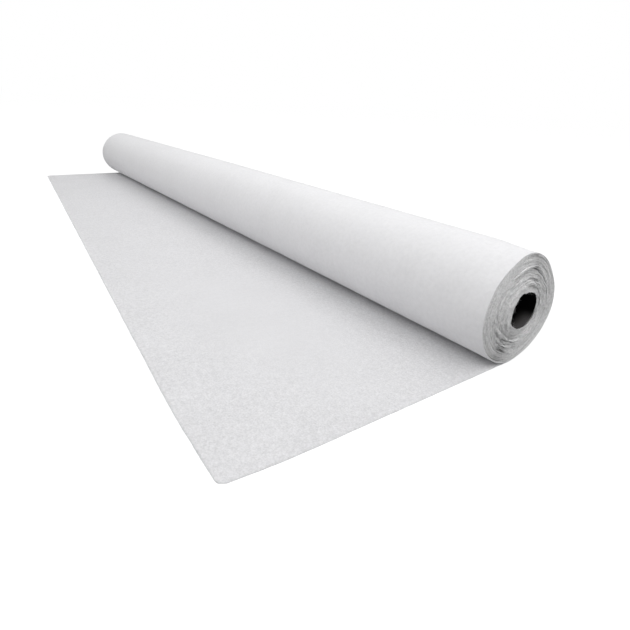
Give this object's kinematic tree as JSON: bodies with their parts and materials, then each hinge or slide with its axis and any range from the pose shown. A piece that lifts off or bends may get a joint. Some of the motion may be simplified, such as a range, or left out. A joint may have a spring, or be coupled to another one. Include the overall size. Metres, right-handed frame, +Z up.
{
  "type": "geotextile roll",
  "caption": "Roll of white nonwoven geotextile on a board core, lying on its side with a short lead of fabric rolled out flat in front.",
  "frame": {"origin": "on the ground, in the middle of the bounding box", "axes": "+X along the roll's axis, +Y from the free edge of the laid fabric towards the roll, +Z up"},
  "size_m": [2.5, 0.7044, 0.2164],
  "materials": {
    "wound_felt": "matt needled felt",
    "laid_felt": "matt needled felt",
    "core_board": "matt grey board",
    "tape_film": "matt paper tape"
  },
  "bodies": {
    "laid_fabric": {"laid_sheet": "laid_felt"},
    "contact": {"contact_strip": "laid_felt"},
    "roll": {"wound_fabric": "wound_felt", "core_tube": "core_board", "start_tape": "tape_film"}
  },
  "joints": [
    {"name": "roll_out", "type": "slide", "parent": "laid_fabric", "child": "contact", "axis": [0, 1, 0], "range_m": [-0.2, 0.678], "deforming": ["laid_sheet"]},
    {"name": "roll_turn", "type": "hinge", "parent": "contact", "child": "roll", "pos_m": [0, 0.24484, 0.1098], "axis": [-1, 0, 0], "range_deg": [-108, 361]}
  ],
  "couplings": [
    {"joint": "roll_turn", "follows": "roll_out", "rad_per_m": 9.2593}
  ]
}
